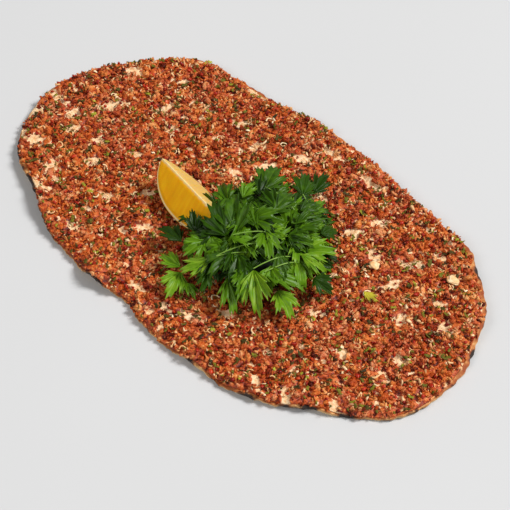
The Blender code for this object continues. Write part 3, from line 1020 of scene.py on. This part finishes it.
# %% Material of the lemon
lemon_look, tree, shader, place = new_material("fresh_lemon", 0.30, 1.38, 0.3)
depth, reach, cut, far_face_sheen = [
    add_node(tree, "Attribute", attribute_name=stored).outputs["Fac"]
    for stored in ("depth", "reach", "cut", "far_face_sheen")]
turned = add_node(tree, "Mapping",
                  {"Vector": place, "Rotation": (0.0, 0.0, -LEMON_BEARING),
                   "Scale": (1 / (2.6 * MM), 1 / (16 * MM), 1 / (16 * MM))})
sacs = add_node(tree, "TexNoise", {"Vector": turned, "Scale": 1.0, "Detail": 3.0})
flesh = fill_ramp(add_node(tree, "ValToRGB", {0: sacs}),
                  [(0.30, "#F0A600"), (0.50, "#F5AF00"), (0.70, "#F8BA0A")])
band = fill_ramp(add_node(tree, "ValToRGB", {0: add_node(
    tree, "MapRange", {0: depth, 1: 0.0, 2: 3.6 * MM})}),
    [(0.0, "#D8A038"), (0.10, "#E8C47C"), (0.20, "#F2DCAC"), (0.38, "#ECCB80"),
     (0.55, "#ECAA14")])
deep = add_node(tree, "MapRange", {0: depth, 1: 1.2 * MM, 2: 2.2 * MM})
inside = add_node(tree, "Mix", {0: deep, 6: band, 7: flesh}, data_type='RGBA')
# The far cut face is washed pale in streaks: a painted sheen, a paler copy of the same
# flesh.
torn = add_node(tree, "MapRange", {0: sacs, 1: 0.70, 2: 0.35, 3: 0.55, 4: 0.95})
painted_sheen = add_node(tree, "Math", {0: far_face_sheen, 1: torn}, operation='MULTIPLY')
sheened = add_node(tree, "Mix",
                  {0: painted_sheen, 6: inside, 7: linear("#DDBB72")},
                  data_type='RGBA')
core_wander = add_node(tree, "Math", {0: sacs, 1: 2.4 * MM, 2: reach},
                       operation='MULTIPLY_ADD')
core = add_node(tree, "MapRange", {0: core_wander, 1: 2.9 * MM, 2: 1.7 * MM})
cored = add_node(tree, "Mix",
                 {0: core, 6: sheened, 7: linear("#E6CC90")},
                 data_type='RGBA')
zest_noise = add_node(tree, "TexNoise",
                      {"Vector": place, "Scale": 1 / (9 * MM), "Detail": 3.0})
zest = fill_ramp(add_node(tree, "ValToRGB", {0: zest_noise}),
                 [(0.3, "#DDA215"), (0.7, "#EDC235")])
whole = add_node(tree, "Mix", {0: cut, 6: zest, 7: cored}, data_type='RGBA')
pores = add_node(tree, "TexVoronoi", {"Vector": place, "Scale": 1 / (1.3 * MM)})
relief = add_node(tree, "Mix", {0: cut, 2: pores.outputs["Distance"], 3: sacs})
colour_and_bump(tree, shader, whole, relief, 0.22, 0.4 * MM)
shader.inputs["Subsurface Weight"].default_value = 0.35
shader.inputs["Subsurface Radius"].default_value = (1.0, 0.6, 0.15)
shader.inputs["Subsurface Scale"].default_value = 3.0 * MM
hand_over(lemon, lemon_look, "lemon", "lemon_wedge")

# %% [markdown]
# ## The bunch of parsley
#
# Flat-leaf parsley has three-lobed leaflets with toothed ends, wedge-shaped towards the
# stalk, and veins that fan out from it. One leaflet is a fan: a grid whose columns run
# from the stalk to the teeth. Each copy is then bent, folded and turned on its own.


# %% Model a leaflet
TEETH = 15
SPOKES = TEETH * 4
RINGS = 5
LOBES = ((0.0, 1.0, 0.31), (0.50, 0.82, 0.27), (0.90, 0.58, 0.18))  # place, length, width


def leaflet_reach(across, variant):
    """Length of the leaflet along each spoke, where across runs from -1 to 1."""
    reach = np.full_like(across, 0.25)
    for place, length, width in LOBES:
        gap = np.abs(np.abs(across) - place - 0.02 * variant) / width
        reach = np.maximum(reach, length * (1.0 - 0.46 * gap ** 2.6))
    teeth = 0.22 * np.abs((across * TEETH / 2.0) % 1.0 - 0.5) * 2.0
    uneven = 0.75 + 0.25 * np.sin(across * 17.0 + 2.0 * variant)
    return reach - 0.16 + teeth * uneven * (0.5 + 0.5 * reach)


def model_leaflet(name, variant, half_fan):
    """A leaflet of length 1, with its stalk end at the origin and its tip at +Y."""
    deselect_all()
    bpy.ops.mesh.primitive_grid_add(x_subdivisions=SPOKES, y_subdivisions=RINGS, size=2.0)
    leaf = new_piece(name)
    square = read_points(leaf.data)
    across, outwards = square[:, 0], 0.5 * (square[:, 1] + 1.0)
    reach = leaflet_reach(across, variant)
    angle = across * math.radians(half_fan)
    radius = reach * (0.02 + 0.98 * outwards)
    from_vein = np.minimum.reduce([np.abs(np.abs(across) - lobe[0]) for lobe in LOBES])
    vein = np.exp(-(from_vein * 14.0) ** 2)
    small = 0.5 * (1.0 + np.cos(across * TEETH * math.pi))
    height = (0.40 * np.minimum(from_vein, 0.2) * outwards
              - 0.02 * vein * (1.0 - outwards) - 0.012 * small * outwards)
    write_points(leaf.data, np.stack([radius * np.sin(angle), radius * np.cos(angle),
                                      height], axis=1))
    write_tone(leaf.data, "vein", np.clip(vein * (1.1 - 0.6 * outwards)
                                          + 0.30 * small * outwards, 0.0, 1.0))
    return leaf


# Variant of the lobes, half the angle that the leaflet fans out over.
LEAFLET_SORTS = ((-1.0, 62.0), (0.0, 68.0), (1.0, 58.0), (-0.5, 42.0), (0.5, 46.0))
LEAFLETS = []
for variant, half_fan in LEAFLET_SORTS:
    model = model_leaflet(f"leaflet_{half_fan:.0f}", variant, half_fan)
    veins = np.zeros(len(model.data.vertices))
    model.data.attributes["vein"].data.foreach_get("value", veins)
    LEAFLETS.append((*take_shape(model), veins))

# %% [markdown]
# The bunch lies askew on the bread, so it is laid out in its own directions: right along
# its stalks, which gather at its right-hand end, and back across them. The leaves that
# make its outline and its top are listed one by one, each by its stalk end, the way it
# points, its length and how far its tip rises. Each starts on the domed top of the heap.
# Under them a dome of seeded leaves fills the heap, and a skirt of low ones closes its
# back, where no leaf is listed.

# %% Place the leaves
BUNCH_BEARING = 46.0
BUNCH_ORIGIN = Vector((26.0, -12.0, 0.0))
STALK_ENDS = (45.0, -7.0)  # right and back, in mm
# Right, back in mm, bearing in degrees, length, rise of the tip in mm, tone, which is
# lime for young leaves and darker as painted shade for leaves lying in shade.
TOP_LEAVES = [
    (-10, 16, -70, 15, 1, 0.75), (-15, -9, -18, 19, -4, 0.50),
    (-47, -24, -110, 20, -3, 0.58), (-28, -23, -163, 21, -6, 0.60),
    (-1, -32, -85, 29, -14, 0.60), (31, 32, 83, 22, -2, 0.25),
    (6, 35, 68, 24, -4, 0.30), (6, -34, -11, 28, -12, 0.45),
    (-17, -35, -79, 25, -11, 0.48), (29, -20, -24, 21, -12, 0.58),
    (-2, 5, -15, 23, -3, 0.35), (-27, -6, -102, 18, -7, 0.48),
    (-47, -3, 138, 20, -2, 0.12), (-47, -21, 145, 18, -2, 0.58),
    (-43, -32, -56, 12, -3, 0.50), (14, -43, -64, 21, -9, 0.58),
    (36, -33, -34, 16, -6, 0.15), (42, -1, 32, 15, -8, 0.20),
    (38, 39, 62, 23, -3, 0.12), (-8, 24, 60, 15, 0, 0.50), (-18, -8, 112, 27, 6, 0.22),
    (-12, -6, 98, 27, 5, 0.30), (-38, 1, 100, 15, 6, 0.08), (1, -3, 119, 25, 1, 0.35),
    (-38, -2, -103, 17, -6, 0.45), (7, -5, -25, 14, -3, 0.55),
    (11, 10, 60, 24, -5, 0.30), (23, 2, 39, 23, -8, 0.35), (14, 14, 120, 20, -2, 0.25),
    (29, 15, 35, 16, -5, 0.25), (27, -2, -5, 14, -5, 0.45),
    (-10, -22, -105, 20, -7, 0.25), (14, -21, -75, 18, -8, 0.30),
    (-29, -29, -105, 16, -6, 0.25),
]
SHOWN_STALKS = 8  # the first so many of these leaves have a stalk that shows
FILL_LEAVES = 76
SKIRT_LEAVES = 24
SKIRT_PLACE = ((-25.0, 108.0), (0.45, 0.80))  # ranges of bearing, and of squared reach
HEAP_HALF_WIDTH = 57.0
HEAP_RISE = 20.0
HEAP_FOOT = 12.0


def bunch_place(right, back, height):
    """A place in mm in the bunch's own directions, turned into the bread's."""
    return BUNCH_ORIGIN + Matrix.Rotation(math.radians(BUNCH_BEARING), 3, 'Z') @ Vector(
        (right, back, height))


def heap_height(right, back):
    """Height in mm of the heap's domed top."""
    share = math.hypot(right - 2.0, back - 1.0) / HEAP_HALF_WIDTH
    return HEAP_FOOT + HEAP_RISE * max(1.0 - share ** 2.2, 0.0)


def fill_leaf(bearings=(-180.0, 180.0), shares=(0.0, 0.60)):
    """One leaf inside the heap, pointing outwards and down its slope."""
    bearing = dice.uniform(*bearings)
    share = math.sqrt(dice.uniform(*shares))
    right = share * HEAP_HALF_WIDTH * math.cos(math.radians(bearing))
    back = share * HEAP_HALF_WIDTH * math.sin(math.radians(bearing))
    depth = dice.uniform(0.5, 8.0)
    bearing += dice.normal(0.0, 20.0 + 60.0 * (1.0 - share))
    length = dice.uniform(16.0, 24.0)
    right -= 0.5 * length * math.cos(math.radians(bearing))
    back -= 0.5 * length * math.sin(math.radians(bearing))
    rise = -dice.uniform(1.0, 8.0) * (0.3 + share)
    return (right, back, bearing, length, rise, dice.uniform(0.05, 0.56), depth)


def bend_leaf(points, leaf, seed):
    """Size a flat leaflet, fold and curl it, and turn it into its place."""
    right, back, bearing, length, rise, _, depth = leaf
    width = length * (0.86 + 0.14 * math.sin(seed * 1.3))
    shaped = points.copy()
    shaped[:, 0] *= width / np.ptp(points[:, 0])
    shaped[:, 1] *= length
    shaped[:, 2] *= length
    along = points[:, 1]
    fold = 0.14 + 0.22 * math.sin(seed * 2.1)
    droop = 0.16 + 0.10 * math.sin(seed * 3.7)
    shaped[:, 2] += fold * np.abs(shaped[:, 0]) - droop * length * along ** 2
    shaped[:, 2] += 1.6 * rumple(flat_places(points[:, 0], along), 0.35, seed)
    pitch = math.atan2(rise + droop * length, length)
    foot = bunch_place(right, back, heap_height(right, back) - depth)
    heading = math.radians(bearing + BUNCH_BEARING - 90.0)
    turn = (Matrix.Translation(foot) @ Matrix.Rotation(heading, 4, 'Z')
            @ Matrix.Rotation(pitch, 4, 'X')
            @ Matrix.Rotation(0.35 * math.sin(seed * 5.3), 4, 'Y'))
    turn = np.array(turn)
    return (shaped @ turn[:3, :3].T + turn[:3, 3]) * MM


leaves = [(*leaf, 0.0) for leaf in TOP_LEAVES] + [fill_leaf() for _ in range(FILL_LEAVES)]
for _ in range(SKIRT_LEAVES):
    right, back, bearing, length, rise, tone_and_shade, depth = fill_leaf(*SKIRT_PLACE)
    leaves.append((right, back, bearing, 0.8 * length, rise, tone_and_shade, depth + 4.0))
points, faces, tones, veins, start = [], [], [], [], 0
for number, leaf in enumerate(leaves):
    shape_points, shape_faces, shape_veins = LEAFLETS[number % len(LEAFLETS)]
    points.append(bend_leaf(shape_points, leaf, float(number)))
    faces.append(np.array(shape_faces) + start)
    tones.append(np.full(len(shape_points), leaf[5]))
    veins.append(shape_veins)
    start += len(shape_points)
parsley = piece_from("parsley_leaves", np.concatenate(points),
                     np.concatenate(faces).tolist())
write_tone(parsley.data, "tone", np.concatenate(tones))
write_tone(parsley.data, "vein", np.concatenate(veins))
apply_modifier(parsley, 'SOLIDIFY', thickness=0.25 * MM, offset=0.0)

# %% [markdown]
# A fresh leaf is satin on top, deep green between its veins and paler along them, and
# some light comes through it. The tone of each leaf is partly its own colour, up to the
# lime of the youngest, and partly painted shade, down to the blue-black green of the
# leaves that lie in shade. The pale veins are drawn only as far as that tone is light, so
# they are partly painted highlight.

# %% Material of the leaves
leaf_look, tree, shader, place = new_material("fresh_parsley_leaf", 0.38, 1.38, 0.3)
tone, vein = [add_node(tree, "Attribute", attribute_name=stored).outputs["Fac"]
              for stored in ("tone", "vein")]
mottle = add_node(tree, "TexNoise",
                  {"Vector": place, "Scale": 1 / (4 * MM), "Detail": 4.0})
shifted = add_node(tree, "Math", {0: mottle, 1: 0.3, 2: tone}, operation='MULTIPLY_ADD')
green = fill_ramp(add_node(tree, "ValToRGB", {0: shifted}),
                  [(0.12, "#122402"), (0.40, "#2A4A02"), (0.70, "#5C860C"),
                   (1.0, "#AAC03A")])
# Pale veins are the leaf's own colour, but they are drawn only on light-toned leaves:
# partly painted highlight.
lit_vein = add_node(tree, "Math", {0: vein, 1: tone}, operation='MULTIPLY')
veined = add_node(tree, "MapRange", {0: lit_vein, 1: 0.15, 2: 0.8, 4: 0.45})
leafy = add_node(tree, "Mix", {0: veined, 6: green,
                                         7: linear("#A0BE4E")}, data_type='RGBA')
colour_and_bump(tree, shader, leafy, mottle, 0.4, 0.5 * MM)
hand_over(parsley, leaf_look, "parsley", "parsley_bunch")

# %% [markdown]
# ## Stalks and the heart of the bunch
#
# Thin stalks run through the heap and show in its gaps. Each is a short curve with a
# round section, made a mesh. Under the leaves lies a small heart, so that light doesn't
# fall through the heap onto the meat. Its near-black green is painted shade, standing for
# the leaves deep inside the heap.

# %% Stalks
def stalk_route(leaf, bow):
    """A stalk from a leaf's foot towards the gathered ends, sinking into the heap."""
    route = []
    for share in (0.0, 0.15, 0.35, 0.55, 0.75):
        right = leaf[0] + share * (STALK_ENDS[0] - leaf[0])
        back = (leaf[1] + share * (STALK_ENDS[1] - leaf[1])
                + bow * math.sin(math.pi * share))
        height = heap_height(right, back) + 1.5 - 26.0 * max(share - 0.30, 0.0)
        route.append(bunch_place(right, back, height) * MM)
    return route


STALK_RADIUS = 0.38 * MM
stalk_parts = [
    sweep_tube(f"stalk_{number}", stalk_route(leaf, 3.0 * math.sin(2.4 * number)),
               STALK_RADIUS, 3, 8)
    for number, leaf in enumerate(TOP_LEAVES[:SHOWN_STALKS])]
stalks = join_pieces(stalk_parts, "parsley_stalks")
write_tone(stalks.data, "tone", np.full(len(stalks.data.vertices), 0.6))
stalk_look = bit_material("parsley_stalk", [(0.0, "#4A7420"), (0.6, "#7CA040"),
                          (1.0, "#A8C070")], 0.4, 2.5 * MM, 0.2)
hand_over(stalks, stalk_look, "parsley")

# %% Heart of the heap
HEART_HALF_SIZE = [29.0, 29.0, 9.0]
HEART_HEIGHT = 12.5
deselect_all()
bpy.ops.mesh.primitive_uv_sphere_add(segments=64, ring_count=32, radius=1.0)
heart = new_piece("parsley_heart")
ball = read_points(heart.data)
crinkle = 1.0 + 0.10 * rumple(ball, 0.3) + 0.06 * rumple(ball, 0.12, 4.0)
ball = ball * crinkle[:, None] * np.array(HEART_HALF_SIZE) * MM
ball[:, 2] = np.maximum(ball[:, 2], -4.0 * MM)
ball += np.array(bunch_place(2.0, 1.0, HEART_HEIGHT)) * MM
write_points(heart.data, ball)
write_tone(heart.data, "tone", np.full(len(ball), 0.2))
# Painted shade: the heart is coloured near-black green, as the leaves deep in the heap
# look in their shade.
heart_look = bit_material("shaded_parsley", [(0.0, "#070F03"), (0.5, "#0E1E06"),
                          (1.0, "#18300A")], 0.9, 3.0 * MM, 0.8)
hand_over(heart, heart_look, "parsley")

# %% [markdown]
# ## The wilted leaf
#
# One scrap of parsley leaf has baked on the meat and turned yellow-green. It is the
# same leaflet, laid flat over its CAD solid.

# %% Wilted leaf
low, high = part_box("leaf_piece")
scrap_points, scrap_faces, _ = LEAFLETS[3]
scrap = scrap_points.copy()
scrap[:, :2] = (scrap[:, :2] - scrap[:, :2].min(0)) / np.ptp(scrap[:, :2], axis=0)
spot = np.array([low.x, low.y, high.z - 0.6 * MM]) - np.array(CENTRING)
curl = 1.2 * MM * rumple(scrap_points, 0.4, 8.0)
scrap = spot + np.stack([scrap[:, 1] * (high.x - low.x), scrap[:, 0] * (high.y - low.y),
                         curl], axis=1)
wilted = piece_from("wilted_leaf", scrap, [face[::-1] for face in scrap_faces])
apply_modifier(wilted, 'SOLIDIFY', thickness=0.5 * MM, offset=0.0)
wilted_places = read_points(wilted.data)
write_tone(wilted.data, "tone", 0.55 + 0.7 * rumple(wilted_places, 3.5 * MM, 2.0))
wilted_look = bit_material("wilted_parsley", [(0.0, "#5E3C10"), (0.35, "#94861A"),
                           (1.0, "#CCBE38")], 0.45, 2.0 * MM, 0.4)
hand_over(wilted, wilted_look, "leaf_bit", "leaf_piece")

# %% [markdown]
# ## Table, light and camera
#
# A plain pale table, one large soft light high at the back right, a far weaker one in
# front, and a weak, even sky from all round. The camera looks down at the bread from its
# near corner with a long lens, which keeps the oval from being stretched.

# %% Table
deselect_all()
bpy.ops.mesh.primitive_plane_add(size=8.0, location=(0.0, 0.0, -0.2 * MM))
table = new_piece("table")
table_look, tree, shader, place = new_material("matt_pale_table", 0.9)
speck = add_node(tree, "TexNoise", {"Vector": place, "Scale": 3.0, "Detail": 2.0})
tint = fill_ramp(add_node(tree, "ValToRGB", {0: speck}),
                 [(0.3, "#CCCCCC"), (0.7, "#CECECE")])
tree.links.new(tint, shader.inputs["Base Color"])
table.data.materials.append(table_look)

# %% Lights
def soft_light(name, place, size, power):
    """A square area light aimed at the middle of the bread."""
    lamp = bpy.data.lights.new(name, 'AREA')
    lamp.shape = 'SQUARE'
    lamp.size = size
    lamp.energy = power
    holder = bpy.data.objects.new(name, lamp)
    bpy.context.scene.collection.objects.link(holder)
    holder.location = place
    holder.rotation_euler = (-Vector(place)).to_track_quat('-Z', 'Y').to_euler()


scene = bpy.context.scene
soft_light("key_softbox", (2.6, 3.0, 4.7), 1.8, 410.0)
soft_light("front_fill", (-0.6, -2.6, 2.4), 1.6, 34.0)
sky = bpy.data.worlds.new("studio_sky")
sky.use_nodes = True
sky.node_tree.nodes["Background"].inputs["Color"].default_value = linear("#FFFFFF")
sky.node_tree.nodes["Background"].inputs["Strength"].default_value = 0.26
scene.world = sky
scene.view_settings.view_transform = 'Standard'

# %% Camera
AZIMUTH = math.radians(46.0)
ELEVATION = math.radians(52.0)
DISTANCE = 0.826
AIM = Vector((26.0 * MM, -12.1 * MM, 0.0)) + CENTRING
camera_data = bpy.data.cameras.new("camera")
camera_data.lens = 90.0
camera_data.sensor_width = 36.0
camera = bpy.data.objects.new("camera", camera_data)
scene.collection.objects.link(camera)
camera.location = AIM + DISTANCE * Vector((math.sin(AZIMUTH) * math.cos(ELEVATION),
                                           -math.cos(AZIMUTH) * math.cos(ELEVATION),
                                           math.sin(ELEVATION)))
camera.rotation_euler = (AIM - camera.location).to_track_quat('-Z', 'Y').to_euler()
scene.camera = camera
